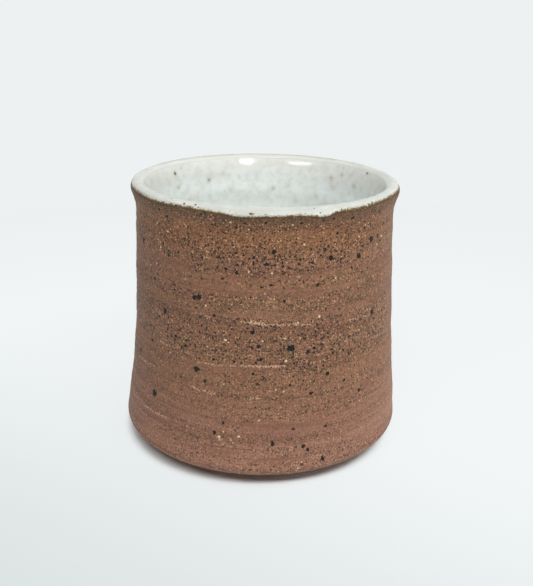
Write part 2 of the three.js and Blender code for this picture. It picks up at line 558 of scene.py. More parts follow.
# Specks under the glaze inside: the pixel of each, its half width and how dark it is
INSIDE_SPECKS = [
    ((181, 168), 1.0, 0.5), ((175, 173.5), 0.9, 1.1), ((209, 180), 1.2, 0.7),
    ((178.5, 187.5), 1.1, 0.5), ((222.5, 173), 1.0, 0.3), ((210, 195.5), 1.2, 0.3),
    ((253.5, 186.5), 1.3, 0.3), ((151.5, 180.5), 1.0, 0.4), ((169.5, 183.5), 1.0, 0.3),
    ((331, 177.5), 1.2, 0.6), ((342, 175), 1.1, 0.6), ((338.5, 165.8), 0.9, 0.5),
    ((343.5, 167.8), 0.8, 0.5), ((273.5, 188.5), 1.2, 0.6), ((287, 185.7), 1.3, 0.35),
    ((332, 187.5), 1.3, 0.4), ((317, 196.8), 1.3, 0.5), ((354.7, 186.5), 1.1, 0.5),
    ((350.5, 175.5), 0.9, 0.4), ((367.6, 172.7), 0.9, 1.2), ((294.5, 201.8), 1.2, 0.3),
    ((230, 190), 1.2, 0.25), ((240, 178), 1.0, 0.2), ((310, 171), 1.0, 0.3),
]
SPECK_SIZE = 0.75
HIDDEN_SPECKS = 90


def inside_specks():
    """Angle, height, half width and darkness of the specks inside, those photographed and others."""
    specks = [(*inside_at(*pixel), half_width, dark) for pixel, half_width, dark in INSIDE_SPECKS]
    rng = np.random.default_rng(53)
    for _ in range(HIDDEN_SPECKS):
        front = rng.uniform(math.pi * 1.02, TURN * 0.99)
        anywhere = rng.uniform(0, TURN)
        in_front = rng.uniform() < 0.5
        level = rng.uniform(14, 76) if in_front else rng.uniform(12, 50)
        angle = front if in_front else anywhere
        specks.append((angle, level, rng.uniform(0.5, 1.3), rng.uniform(0.2, 0.7)))
    return specks


def speck_strength(around, radius, height):
    """How much of the inside belongs to one of the specks."""
    total = np.zeros_like(radius)
    for angle, level, half_width, dark in inside_specks():
        away = angle_between(around, angle) * radius
        spread = (SPECK_SIZE * half_width) ** 2
        total = np.maximum(total, dark * np.exp(-(away ** 2 + (height - level) ** 2) / spread))
    return total


# Rings and slow swells of the liner, on the wall and on the floor, and where each dies out: between two
# heights under the lip and between two distances from the axis
LINER_RING_PITCH = 8.5
LINER_RING_DEPTH = 0.10
LINER_SWELL_DEPTH = 0.14
LINER_CALM = (72, 78)
FLOOR_RING_PITCH = 7.5
FLOOR_RING_DEPTH = 0.12
FLOOR_CALM = (1, 6)


def liner_glaze():
    face = spaced(INNER, LINER_STEP)[1:]
    back = spaced(inner_line(GLAZE_COAT)[::-1], BURIED_GLAZE_STEP)[:-1]
    line = np.concatenate([face, back])
    radius, height, around = turned_grid(line, GLAZE_COLUMNS)
    on_face = rows_between(len(line), 0, len(face))
    calm = 1 - smoothstep(*LINER_CALM, height)
    wander = 0.7 * smooth_noise(around, height, 5, 9.0, 43)
    rings = LINER_RING_DEPTH * np.sin(TURN * (height / LINER_RING_PITCH - around / TURN) + wander)
    swell = LINER_SWELL_DEPTH * smooth_noise(around, height, 6, 14.0, 47)
    on_wall = smoothstep(FLOOR_HEIGHT + 1, FLOOR_HEIGHT + FLOOR_FILLET, height)
    floor_rings = FLOOR_RING_DEPTH * np.sin(TURN * (radius / FLOOR_RING_PITCH + around / TURN))
    height = height + floor_rings * (1 - on_wall) * smoothstep(*FLOOR_CALM, radius) * on_face
    speck = speck_strength(around, radius, height) * on_face
    radius = radius + (rings + swell) * on_face * calm * on_wall
    return turned_piece("liner_glaze", radius, height, {"speck": speck}, False)


# Brown nicks and pinholes in the rim's glaze: the pixel of each and its half width
RIM_NICKS = [
    ((252.6, 214.2), 0.5), ((249.5, 213.6), 0.35), ((266, 214.6), 0.35), ((195.5, 204.8), 0.45),
    ((184, 203.6), 0.45), ((198.5, 207), 0.35), ((315, 208.3), 0.28), ((341.3, 208.2), 0.28),
    ((372.3, 202.3), 0.4), ((362, 207), 0.35), ((305.7, 213.3), 0.35), ((320.5, 212.8), 0.3),
    ((172, 198.5), 0.3),
]
NICK_DEPTH = 0.12

# The rim's glaze starts this far below its edge, under the clay, and runs this far past the lip inside
HIDDEN_START = 12
INSIDE_LAP = 3

# Its bead near the edge, its unevenness, how soon above the edge it gets thick, how steeply it goes under
# the clay below the edge, and how far its back, and the back's last ring, lie below what covers them
EDGE_BEAD = 0.08
RIM_UNEVENNESS = 0.03
EDGE_ROUNDING = 0.2
EDGE_TUCK = 0.6
BACK_DEPTH = 0.06
LAST_BACK_DEPTH = 0.03

# Bearings between which the glaze gets thick in front, coming from the left and leaving to the right
THICK_FROM = (238, 250)
THICK_TO = (296, 302)


def nick_strength(around, angle):
    """How much of the rim's glaze belongs to one of the nicks, over angle round and up the lip roll."""
    total = np.zeros_like(angle)
    for pixel, half_width in RIM_NICKS:
        place, level = lip_at(*pixel)
        away = angle_between(around, place) * RIM_RADIUS
        up = np.radians(angle - level) * LIP_RADIUS
        total = np.maximum(total, np.exp(-((away ** 2 + up ** 2) / half_width ** 2)))
    return total


def worn_crest(around, angle):
    """Where the far side of the lip is worn along its crest."""
    crest = np.exp(-((angle - 80) / 24) ** 2) * smoothstep(0.35, 0.8, np.sin(around))
    return crest * (0.6 + 0.4 * ring_noise(around, 60, 61))


def rim_glaze():
    theta = columns_of(GLAZE_COLUMNS)
    edge = glaze_edge(theta)
    start = edge - HIDDEN_START
    share = np.r_[np.linspace(0, 0.3, 22), np.linspace(0.3, 1, 30)[1:]]
    angle = start[None] + (LIP_INNER + INSIDE_LAP - start[None]) * share[:, None]
    above = np.radians(angle - edge[None]) * LIP_RADIUS
    clay = clay_lip_radius(angle)
    around = np.repeat(theta[None], len(share), 0)
    full = LIP_RADIUS + EDGE_BEAD * (1 - smoothstep(40, 85, angle))
    on_crest = smoothstep(70, 80, angle) * (1 - smoothstep(100, 110, angle))
    bumps = smooth_noise(around, angle / 12, 70, 1.0, 59)
    uneven = RIM_UNEVENNESS * bumps * smoothstep(0.2, 0.8, above)
    uneven = uneven * (1 - on_crest) * (1 - smoothstep(140, 155, angle))
    cover = 1 - np.exp(-np.maximum(above, 0) / EDGE_ROUNDING)
    nick = nick_strength(around, angle)
    roll = np.where(above > 0, clay + (full - clay + uneven) * cover, clay + EDGE_TUCK * above)
    roll = roll - NICK_DEPTH * nick
    back_angle = angle[::-4]
    back = clay_lip_radius(back_angle) - BACK_DEPTH
    back[-1] = roll[0] - LAST_BACK_DEPTH
    loop = np.concatenate([roll, back])
    loop_angle = np.radians(np.concatenate([angle, back_angle]))
    radius = LIP_CENTRE[0] + loop * np.cos(loop_angle)
    height = LIP_CENTRE[1] + loop * np.sin(loop_angle)
    bearing = np.degrees(around)
    thin = np.maximum(1 - smoothstep(*THICK_FROM, bearing), smoothstep(*THICK_TO, bearing))
    attributes = {"above_edge": above, "nick": nick, "crest": worn_crest(around, angle), "thin": thin}
    return turned_piece("rim_glaze", radius, height, attributes, True)


# Iron spots on the clay: the pixel of each, and its width and height
IRON_SPOTS = [
    ((291, 348), 2.1, 1.8), ((194.5, 297.5), 1.1, 1.3), ((199, 297), 1.3, 1.3),
    ((196.5, 369), 1.6, 1.5), ((154, 393), 1.2, 1.9), ((371, 239), 1.3, 1.5), ((331, 258), 1.2, 1.5),
    ((359, 256), 1.2, 1.3), ((372, 312), 1.1, 1.4), ((274, 252), 1.1, 1.2), ((236.5, 273), 0.9, 0.8),
    ((165, 311), 1.0, 1.7), ((311, 393), 1.1, 0.9), ((323, 459), 1.2, 1.3), ((272.5, 444), 0.9, 1.6),
    ((303.5, 446.5), 1.0, 1.2), ((308, 450), 0.9, 1.1), ((214.3, 432.5), 0.9, 1.1),
    ((144, 240), 0.8, 1.5), ((141, 350), 0.7, 1.1), ((176, 336), 0.8, 0.8), ((152, 340), 0.7, 0.9),
    ((252.7, 332.5), 1.0, 1.1), ((258.5, 346.3), 1.0, 0.8), ((308, 351.5), 1.0, 1.1),
    ((314.2, 347.8), 0.8, 0.8), ((359, 390), 0.9, 1.1), ((344, 380), 0.7, 0.8),
    ((327.5, 373.5), 1.0, 1.2), ((317.7, 285), 0.9, 0.9), ((223, 423), 0.8, 0.8),
    ((325.7, 426), 0.8, 0.8), ((293.5, 429.3), 0.8, 0.7), ((290, 385), 0.7, 0.7),
    ((253, 374), 0.8, 0.8), ((205, 381), 0.8, 0.9), ((214, 315.5), 0.8, 0.8),
    ((261.6, 287.5), 0.9, 0.6), ((271.3, 285.2), 0.9, 0.7), ((222.5, 278.5), 0.8, 0.7),
    ((225.5, 269), 0.7, 0.7), ((284.5, 301.3), 0.7, 0.7), ((260.8, 359.5), 0.8, 1.1),
    ((256, 362.8), 0.7, 0.7), ((213.5, 359.3), 0.8, 0.7), ((234, 361.5), 0.8, 0.7),
    ((254, 257.5), 0.7, 0.7), ((266.5, 264.5), 1.3, 0.8), ((352.5, 213.5), 0.7, 0.9),
    ((353, 218), 0.8, 0.8), ((355.8, 210.5), 0.6, 0.5), ((379.5, 211.2), 0.6, 0.9),
    ((365, 221.6), 0.7, 0.5), ((383.5, 223), 0.5, 0.7), ((334, 218.7), 0.7, 0.5),
    ((323.8, 220.3), 0.6, 0.5), ((159.3, 209.3), 0.6, 0.7), ((167.2, 216.3), 0.6, 0.7),
    ((176, 205.5), 0.5, 0.5), ((245.3, 223.7), 0.7, 0.6), ((301.6, 223.3), 0.8, 0.6),
    ((265.7, 223.3), 0.6, 0.5),
]
SPOT_SIZE = 1.2
LEAST_FACING = 0.45

# Pale grains of grog in the clay, in the same form
PALE_GRAINS = [
    ((225.4, 340), 0.9, 0.75), ((228.5, 342.3), 0.5, 0.5), ((286, 361), 0.8, 0.9),
    ((219, 437), 0.8, 1.0), ((238.5, 436.8), 0.9, 0.6), ((248.7, 272), 0.6, 0.6),
    ((272, 273.5), 0.6, 0.6), ((319.5, 316.5), 0.6, 0.9), ((262.5, 341), 0.5, 0.6),
    ((239.5, 473.3), 0.6, 0.5), ((252, 340.8), 0.4, 0.4), ((230.3, 222.3), 0.6, 0.6),
    ((206, 305.5), 0.5, 0.8), ((359, 236.5), 0.6, 0.6), ((381, 236), 0.6, 0.7),
    ((304.3, 244.6), 0.6, 0.6), ((161, 247), 0.6, 0.7), ((157, 263.3), 0.5, 0.6),
    ((186, 226.5), 0.5, 0.5), ((335.7, 278), 0.5, 0.5),
]

# How many random spots and grains the unseen side has, and the half turns and heights they lie between
HIDDEN_SPOTS = 46
HIDDEN_GRAINS = 26
HIDDEN_SIDE = (-0.05, 1.05)
HIDDEN_HEIGHTS = (7, 76)


def photographed_spots():
    """The iron spots above, each as wide on the wall as it looks from the front."""
    spots = []
    for pixel, wide, tall in IRON_SPOTS:
        angle, height = outside_at(*pixel)
        facing = max(-math.sin(angle), LEAST_FACING)
        spots.append((angle, height, SPOT_SIZE * wide / facing, SPOT_SIZE * tall))
    return spots


def hidden_spots():
    rng = np.random.default_rng(67)
    spots = []
    for _ in range(HIDDEN_SPOTS):
        angle = rng.uniform(*HIDDEN_SIDE) * math.pi
        size = 0.65 + 1.2 * rng.uniform() ** 3
        spots.append((angle, rng.uniform(*HIDDEN_HEIGHTS), size, size * rng.uniform(0.75, 1.35)))
    return spots


def photographed_grains():
    return [(*outside_at(*pixel), wide, tall) for pixel, wide, tall in PALE_GRAINS]


def hidden_grains():
    rng = np.random.default_rng(71)
    grains = []
    for _ in range(HIDDEN_GRAINS):
        angle = rng.uniform(*HIDDEN_SIDE) * math.pi
        height = rng.uniform(*HIDDEN_HEIGHTS)
        grains.append((angle, height, rng.uniform(0.4, 0.8), rng.uniform(0.4, 0.8)))
    return grains


# Domes that stand for spots and grains: steps round each, its rings as shares of its size, how ragged
# its outline is, and how far its outermost ring is sunk
DOME_STEPS = 18
DOME_RINGS = [1.0, 0.86, 0.6, 0.3]
DOME_RAGGEDNESS = 0.16
DOME_SINK = 0.05


def ragged_outline(rng, turns):
    outline = np.ones_like(turns)
    for lobes in (2, 3, 4, 5):
        size = rng.uniform(-DOME_RAGGEDNESS, DOME_RAGGEDNESS)
        outline = outline + size * np.cos(lobes * turns + rng.uniform(0, TURN))
    return outline


def dome_faces(base):
    """Faces of one dome whose points start at base: its rings from the outside in, then its tip."""
    faces = []
    for ring in range(len(DOME_RINGS)):
        low = base + ring * DOME_STEPS
        high = low + DOME_STEPS
        for step in range(DOME_STEPS):
            after = (step + 1) % DOME_STEPS
            if ring + 1 < len(DOME_RINGS):
                faces.append((low + step, low + after, high + after, high + step))
            else:
                faces.append((low + step, low + after, high))
    return faces


def domes(name, places, stand, seed):
    """Low irregular domes lying on the clay, all in one mesh."""
    rng = np.random.default_rng(seed)
    turns = columns_of(DOME_STEPS)
    points = []
    faces = []
    for angle, level, wide, tall in places:
        outline = ragged_outline(rng, turns)
        faces += dome_faces(len(points))
        for share in [*DOME_RINGS, 0.0]:
            count = DOME_STEPS if share else 1
            across = share * outline[:count] * wide / 2 * np.cos(turns[:count])
            theta = angle + across / outer_radius(level)
            height = level + share * outline[:count] * tall / 2 * np.sin(turns[:count])
            radius = wall_radius(theta, height) + stand * (1 - share ** 2) - DOME_SINK * (share == 1.0)
            x = radius * np.cos(theta) + sway(height)
            points += np.stack([x, radius * np.sin(theta), height], 1).tolist()
    return linked_piece(name, np.array(points), faces)


# Materials


class Shader:
    """The node tree of a material or world, with short calls to add and join nodes."""

    def __init__(self, owner):
        self.owner = owner
        self.owner.use_nodes = True
        self.tree = owner.node_tree
        self.tree.nodes.clear()

    def node(self, kind, inputs=None, **settings):
        made = self.tree.nodes.new("ShaderNode" + kind)
        for key, value in settings.items():
            setattr(made, key, value)
        for key, value in (inputs or {}).items():
            self.put(made.inputs[key], value)
        return made

    def put(self, socket, value):
        if isinstance(value, bpy.types.NodeSocket):
            self.tree.links.new(value, socket)
        else:
            socket.default_value = value

    def math(self, operation, first, second=0.0, third=0.0):
        made = self.node("Math", {0: first, 1: second, 2: third}, operation=operation)
        return made.outputs[0]

    def plus(self, first, second):
        return self.math("ADD", first, second)

    def times(self, first, second):
        return self.math("MULTIPLY", first, second)

    def larger(self, first, second):
        return self.math("MAXIMUM", first, second)

    def scaled(self, value, factor, offset):
        """The value times a factor, plus an offset."""
        return self.math("MULTIPLY_ADD", value, factor, offset)

    def vector(self, operation, inputs, output="Vector"):
        return self.node("VectorMath", inputs, operation=operation).outputs[output]

    def mix(self, share, first, second):
        made = self.node("Mix", {0: share, 6: first, 7: second}, data_type="RGBA")
        return made.outputs[2]

    def tint(self, colour, other, mask, strength):
        """The colour with so much of another mixed in where the mask is 1."""
        return self.mix(self.times(mask, strength), colour, other)

    def ramp(self, value, low, high, to_low=0.0, to_high=1.0):
        limits = {0: value, 1: low, 2: high, 3: to_low, 4: to_high}
        return self.node("MapRange", limits, interpolation_type="SMOOTHSTEP").outputs[0]

    def attribute(self, name):
        return self.node("Attribute", attribute_name=name).outputs["Fac"]

    def place(self, scale):
        """The surface's own coordinates in metres, stretched by a scale for each axis."""
        coordinates = self.node("TexCoord").outputs["Object"]
        return self.vector("MULTIPLY", {0: coordinates, 1: scale})

    def apart(self, vector):
        """The three numbers of a vector."""
        return self.node("SeparateXYZ", {0: vector}).outputs

    def noise_at(self, vector, detail=2.0, roughness=0.5):
        settings = {"Vector": vector, "Scale": 1.0, "Detail": detail, "Roughness": roughness}
        return self.node("TexNoise", settings).outputs["Fac"]

    def noise(self, scale, detail=2.0, roughness=0.5):
        return self.noise_at(self.place(scale), detail, roughness)

    def grains(self, scale):
        """Distance to the nearest of scattered points, raggedly, and two random values for each point."""
        place = self.place((scale,) * 3)
        warp = self.node("TexNoise", {"Vector": place, "Scale": 1.7, "Detail": 1.0})
        ragged = self.vector("MULTIPLY_ADD", {0: warp.outputs["Color"], 1: (0.75,) * 3, 2: place})
        made = self.node("TexVoronoi", {"Vector": ragged, "Scale": 1.0})
        pick = self.node("SeparateColor", {0: made.outputs["Color"]})
        return made.outputs["Distance"], pick.outputs[0], pick.outputs[1]

    def specks(self, scale, share, size, zone, soft=0.03):
        """Scattered specks: only that share of the points has one, larger where zone is high."""
        distance, pick, random_size = self.grains(scale)
        chosen = self.ramp(pick, 1 - share - 0.01, 1 - share + 0.01)
        reach = self.times(self.scaled(random_size, 0.6 * size, 0.55 * size), zone)
        inside = self.math("SUBTRACT", reach, distance)
        return self.times(chosen, self.ramp(inside, -soft, 2 * soft))

    def surface(self, settings, relief, strength, depth):
        """Ends a material with a principled surface that has a bump relief."""
        bump = self.node("Bump", {"Strength": strength, "Distance": depth, "Height": relief})
        made = self.node("BsdfPrincipled", {**settings, "Normal": bump.outputs[0]})
        return self.finish("OutputMaterial", made.outputs[0])

    def finish(self, kind, shader):
        self.node(kind, {"Surface": shader})
        return self.owner


def new_material(name):
    return Shader(bpy.data.materials.new(name))


# Colours of the clay: its ground low down and high up, what varies it, and what lies in it
CLAY_LOW = linear(156, 113, 95)
CLAY_HIGH = linear(136, 97, 75)
CLAY_OLIVE = linear(114, 90, 62)
CLAY_ORANGE = linear(160, 104, 74)
CLAY_BAND = linear(106, 71, 57)
CLAY_PATCH = linear(144, 109, 84)
CLAY_RIBBON = linear(130, 90, 73)
CLAY_LINE = linear(72, 48, 38)
CLAY_STRIP = linear(116, 75, 60)
CLAY_WARM = linear(136, 90, 52)
CLAY_HALO = linear(72, 57, 41)
CLAY_GRIT = linear(58, 50, 39)
CLAY_SAND = linear(180, 138, 104)
CLAY_SMUDGE = linear(84, 70, 62)
TAN_SPECK = linear(204, 164, 120)
DARK_SPECK = linear(15, 15, 13)
CREAM_SPECK = linear(220, 200, 164)
BURR_CRUMB = linear(206, 168, 138)
BASE_FLECK = linear(206, 172, 132)
GLAZE_RUST = linear(74, 56, 32)


def clay_patterns(shade):
    """What the clay's colour and relief are made from: places, marks on the mesh and noises."""
    place = shade.apart(shade.place((1, 1, 1)))
    return SimpleNamespace(
        depth=place[1],
        height=place[2],
        below=shade.attribute("below_glaze"),
        burr=shade.attribute("burr"),
        strip=shade.attribute("strip"),
        bands=shade.noise((16, 16, 330), 3.0, 0.6),
        lines=shade.noise((9, 9, 1300), 2.0, 0.6),
        ribbons=shade.ramp(shade.noise((9, 9, 620), 3.0, 0.6), 0.5, 0.62),
        zone=shade.noise((30, 30, 140)),
        patches=shade.noise((90, 90, 160), 3.0, 0.6),
        grain=shade.noise((1900,) * 3, 2.0, 0.7),
        coarse=shade.noise((950,) * 3, 2.0, 0.6),
        hue=shade.noise((620,) * 3, 2.0, 0.6),
    )


def clay_ground(shade, clay):
    """Colour of the clay before its grains: redder low down, darker under the glaze."""
    level = shade.plus(shade.ramp(clay.height, 0.006, 0.036), shade.scaled(clay.zone, 0.7, -0.35))
    colour = shade.mix(shade.ramp(level, 0.0, 1.0), CLAY_LOW, CLAY_HIGH)
    olive = shade.ramp(clay.hue, 0.46, 0.62, 0.0, 0.6)
    colour = shade.tint(colour, CLAY_OLIVE, olive, shade.ramp(clay.height, 0.008, 0.045, 0.35, 1.0))
    colour = shade.mix(shade.ramp(clay.hue, 0.3, 0.42, 0.5, 0.0), colour, CLAY_ORANGE)
    colour = shade.mix(shade.ramp(clay.bands, 0.42, 0.66, 0.0, 0.5), colour, CLAY_BAND)
    colour = shade.mix(shade.ramp(clay.patches, 0.5, 0.75, 0.0, 0.45), colour, CLAY_PATCH)
    colour = shade.tint(colour, CLAY_RIBBON, clay.ribbons, 0.2)
    colour = shade.mix(shade.ramp(clay.lines, 0.55, 0.68, 0.0, 0.35), colour, CLAY_LINE)
    colour = shade.tint(colour, CLAY_STRIP, clay.strip, 0.6)
    warm_top = shade.ramp(clay.height, 0.0745, 0.0775, 0.36, 0.0)
    colour = shade.tint(colour, CLAY_WARM, shade.ramp(clay.height, 0.065, 0.071), warm_top)
    halo = shade.plus(clay.below, shade.scaled(clay.patches, 3.0, -1.5))
    return shade.mix(shade.ramp(halo, 0.3, 5.0, 0.62, 0.0), colour, CLAY_HALO)


def between(shade, value, low, low_end, high_start, high):
    """1 between two limits, with a soft edge at each."""
    return shade.times(shade.ramp(value, low, low_end), shade.ramp(value, high_start, high, 1.0, 0.0))


def clay_openness(shade, clay):
    """How open and grainy the clay is: most in two bands, least in the ribbons and smooth strips."""
    varied = shade.ramp(clay.height, 0.008, 0.045, 0.4, 1.3)
    least = shade.ramp(clay.height, 0.008, 0.045, 0.36, 0.08)
    openness = shade.scaled(clay.zone, varied, least)
    openness = shade.scaled(clay.ribbons, shade.times(varied, -0.23), openness)
    wavy = shade.plus(clay.height, shade.scaled(clay.zone, 0.02, -0.01))
    upper_band = between(shade, wavy, 0.06, 0.065, 0.07, 0.075)
    lower_band = between(shade, wavy, 0.035, 0.04, 0.046, 0.051)
    bands = shade.larger(upper_band, lower_band)
    in_front = shade.ramp(clay.depth, -0.02, 0.012, 1.0, 0.0)
    broken_up = shade.larger(in_front, shade.ramp(shade.noise((26, 26, 50)), 0.4, 0.6))
    openness = shade.scaled(shade.times(bands, broken_up), 0.5, openness)
    openness = shade.scaled(clay.strip, -0.7, openness)
    return shade.plus(openness, shade.ramp(clay.height, 0.005, 0.018, 0.2, 0.0))


def clay_sand(shade, clay, colour, openness):
    """Adds the fine dark grit and pale sand."""
    contrast = shade.ramp(openness, 0.2, 0.85, 0.35, 1.0)
    colour = shade.tint(colour, CLAY_GRIT, shade.ramp(clay.grain, 0.34, 0.48, 0.75, 0.0), contrast)
    return shade.tint(colour, CLAY_SAND, shade.ramp(clay.grain, 0.55, 0.69, 0.0, 0.75), contrast)


def clay_specks(shade, clay, colour, openness):
    """Adds smudges and tan, dark and cream specks. The dark and tan ones are also given back alone."""
    density = shade.ramp(openness, 0.2, 1.0, 0.6, 1.32)
    colour = shade.tint(colour, CLAY_SMUDGE, shade.specks(330, 0.16, 0.3, density, 0.1), 0.5)
    tan = shade.specks(1500, 0.34, 0.27, density)
    large = shade.specks(640, 0.38, 0.23, density)
    holes = shade.specks(1080, 0.48, 0.27, density)
    pinholes = shade.specks(1900, 0.5, 0.33, density)
    dark = shade.larger(shade.larger(large, holes), pinholes)
    colour = shade.tint(colour, TAN_SPECK, tan, 0.75)
    colour = shade.tint(colour, DARK_SPECK, dark, shade.ramp(clay.height, 0.008, 0.04, 0.72, 0.95))
    colour = shade.tint(colour, CREAM_SPECK, shade.specks(900, 0.03, 0.2, density), 0.85)
    return colour, dark, tan


def clay_marks(shade, clay, colour):
    """Adds the crumbs of the burrs, flecks round the base and rust along the glaze's edge."""
    broken = shade.scaled(clay.burr, 0.75, shade.scaled(clay.grain, 2.4, -1.2))
    crumbs = shade.times(shade.ramp(broken, 0.25, 0.7), shade.ramp(clay.burr, 0.08, 0.3))
    colour = shade.tint(colour, BURR_CRUMB, crumbs, 0.75)
    flecks = shade.specks(1300, 0.3, 0.28, shade.ramp(clay.height, 0.004, 0.012, 1.1, 0.0))
    colour = shade.tint(colour, BASE_FLECK, flecks, 0.8)
    by_glaze = shade.ramp(clay.below, 0.0, 0.9, 1.0, 0.0)
    return shade.tint(colour, GLAZE_RUST, by_glaze, shade.ramp(clay.coarse, 0.4, 0.55))


def clay_material():
    shade = new_material("bare_stoneware")
    clay = clay_patterns(shade)
    openness = clay_openness(shade, clay)
    colour = clay_sand(shade, clay, clay_ground(shade, clay), openness)
    colour, dark, tan = clay_specks(shade, clay, colour, openness)
    colour = clay_marks(shade, clay, colour)
    relief = shade.scaled(clay.grain, 0.8, shade.times(clay.coarse, 0.5))
    relief = shade.math("SUBTRACT", relief, shade.times(dark, 0.7))
    relief = shade.plus(relief, shade.times(tan, 0.35))
    lined = shade.scaled(clay.bands, 1.2, shade.times(clay.lines, -0.5))
    relief = shade.plus(relief, lined)
    settings = {
        "Base Color": colour,
        "Roughness": shade.ramp(dark, 0.0, 1.0, 0.8, 0.6),
        "Specular IOR Level": 0.3,
        "Sheen Weight": 0.06,
        "Sheen Roughness": 0.35,
    }
    return shade.surface(settings, relief, 0.6, 0.00014)


# Colours of the glaze inside
LINER_WHITE = linear(239, 243, 240)
LINER_CLOUD = linear(232, 237, 234)
LINER_TOP = linear(220, 219, 210)
LINER_MOTTLE = linear(203, 201, 190)
LINER_SPECK = linear(160, 138, 100)
LINER_BROWN = linear(96, 82, 56)
LINER_FAINT = linear(160, 148, 124)


def liner_material():
    shade = new_material("white_liner_glaze")
    height = shade.apart(shade.place((1, 1, 1)))[2]
    cloud = shade.noise((70, 70, 110), 3.0, 0.55)
    fine = shade.noise((600,) * 3)
    colour = shade.mix(shade.ramp(cloud, 0.35, 0.7), LINER_WHITE, LINER_CLOUD)
    top = shade.plus(height, shade.scaled(cloud, 0.008, -0.004))
    colour = shade.mix(shade.ramp(top, 0.0725, 0.0775, 0.0, 0.6), colour, LINER_TOP)
    mottle = shade.ramp(shade.noise((420,) * 3, 3.0, 0.6), 0.42, 0.66)
    colour = shade.tint(colour, LINER_MOTTLE, mottle, shade.ramp(height, 0.05, 0.074, 0.08, 0.34))
    speck = shade.times(shade.attribute("speck"), shade.ramp(fine, 0.2, 0.6, 0.6, 1.0))
    colour = shade.tint(colour, LINER_SPECK, speck, 0.7)
    colour = shade.mix(shade.ramp(speck, 0.4, 0.8, 0.0, 0.8), colour, LINER_BROWN)
    colour = shade.tint(colour, LINER_FAINT, shade.specks(260, 0.25, 0.2, 1.0), 0.16)
    rough = shade.ramp(fine, 0.3, 0.7, 0.1, 0.14)
    settings = {"Base Color": colour, "Roughness": rough, "Specular IOR Level": 0.5}
    return shade.surface(settings, cloud, 0.12, 0.0003)


# Colours of the rim's glaze
RIM_WHITE = linear(207, 209, 203)
RIM_CLOUD = linear(195, 197, 190)
RIM_STREAK = linear(180, 180, 170)
RIM_INSIDE = linear(219, 219, 212)
RIM_THIN = linear(160, 147, 108)
RIM_EDGE = linear(88, 68, 40)
RIM_WORN = linear(140, 126, 96)
RIM_PINHOLE = linear(140, 120, 80)
RIM_CHIP = linear(88, 68, 42)


def rim_streaks(shade, above):
    """A noise drawn out along the lip."""
    place = shade.apart(shade.place((45, 45, 1)))
    drawn_out = {0: place[0], 1: place[1], 2: shade.times(above, 4.0)}
    return shade.noise_at(shade.node("CombineXYZ", drawn_out).outputs[0], 3.0)


def rim_material():
    shade = new_material("white_rim_glaze")
    above = shade.attribute("above_edge")
    cloud = shade.noise((160,) * 3, 3.0, 0.6)
    fine = shade.noise((1500,) * 3, 2.0, 0.6)
    uneven = shade.scaled(fine, 1.6, -0.8)
    colour = shade.mix(shade.ramp(cloud, 0.35, 0.58), RIM_WHITE, RIM_CLOUD)
    colour = shade.mix(shade.ramp(rim_streaks(shade, above), 0.46, 0.62, 0.0, 0.5), colour, RIM_STREAK)
    colour = shade.mix(shade.ramp(above, 3.0, 4.6, 0.0, 0.85), colour, RIM_INSIDE)
    ragged = shade.scaled(shade.attribute("thin"), -0.22, shade.plus(above, uneven))
    colour = shade.mix(shade.ramp(ragged, 0.15, 0.75, 0.85, 0.0), colour, RIM_THIN)
    colour = shade.mix(shade.ramp(ragged, 0.0, 0.34, 0.95, 0.0), colour, RIM_EDGE)
    colour = shade.tint(colour, RIM_WORN, shade.attribute("crest"), shade.ramp(fine, 0.3, 0.6, 0.3, 0.9))
    colour = shade.tint(colour, RIM_PINHOLE, shade.specks(620, 0.12, 0.2, 1.0), 0.6)
    chip = shade.ramp(shade.plus(shade.attribute("nick"), uneven), 0.4, 0.75)
    colour = shade.tint(colour, RIM_CHIP, chip, 0.92)
    rough = shade.ramp(above, 0.1, 0.9, 0.5, 0.2)
    settings = {"Base Color": colour, "Roughness": rough, "Specular IOR Level": 0.5}
    return shade.surface(settings, fine, 0.2, 0.00015)


# Colours of the iron spots and the pale grains, the darker and the lighter of each
IRON_COLOURS = (linear(13, 13, 12), linear(34, 32, 29))
GRAIN_COLOURS = (linear(196, 164, 122), linear(222, 202, 166))
SPOT_HEIGHT = 0.05
GRAIN_HEIGHT = 0.10


def spot_material(name, colours):
    shade = new_material(name)
    mottle = shade.noise((1400,) * 3, 2.0, 0.6)
    colour = shade.mix(shade.ramp(mottle, 0.3, 0.7), *colours)
    rough = shade.ramp(mottle, 0.3, 0.7, 0.5, 0.7)
    settings = {"Base Color": colour, "Roughness": rough, "Specular IOR Level": 0.2}
    return shade.surface(settings, mottle, 0.5, 0.0001)


# Stage: a pale floor that fades into the background, soft lamps and the camera

BACKGROUND = linear(237, 241, 241)
FLOOR_COLOUR = linear(236, 239, 239)
FLOOR_CLOUD = linear(234, 237, 238)
# Painted light and painted shade in the floor's glow: lighter towards the back right, where the light comes
# from, and darker towards the near left corner
FLOOR_PAINTED_LIGHT = linear(241, 245, 245)
FLOOR_PAINTED_SHADE = linear(210, 218, 218)
PAINTED_LIGHT_WAY = (0.47, 0.88, 0)
FLOOR_REACH = 4.0
FLOOR_STEPS = 96
# The floor's real shadow shows only inside a circle round this centre, set off to the left. Between the two
# radii the glow takes over, up to this share, as painted light over the shadow that gives it its edge
CONTACT_CENTRE = (-0.0015, 0.0, 0.0)
CONTACT_START = 0.0398
CONTACT_END = 0.0438
GLOW_SHARE = 0.88
FADE_START = 0.11
FADE_END = 0.34


def seen_directly(shade):
    """1 for rays from the camera, a reflection or a refraction, and 0 for light that falls on things."""
    path = shade.node("LightPath").outputs
    straight = shade.larger(path["Is Camera Ray"], path["Is Glossy Ray"])
    return shade.larger(straight, path["Is Transmission Ray"])


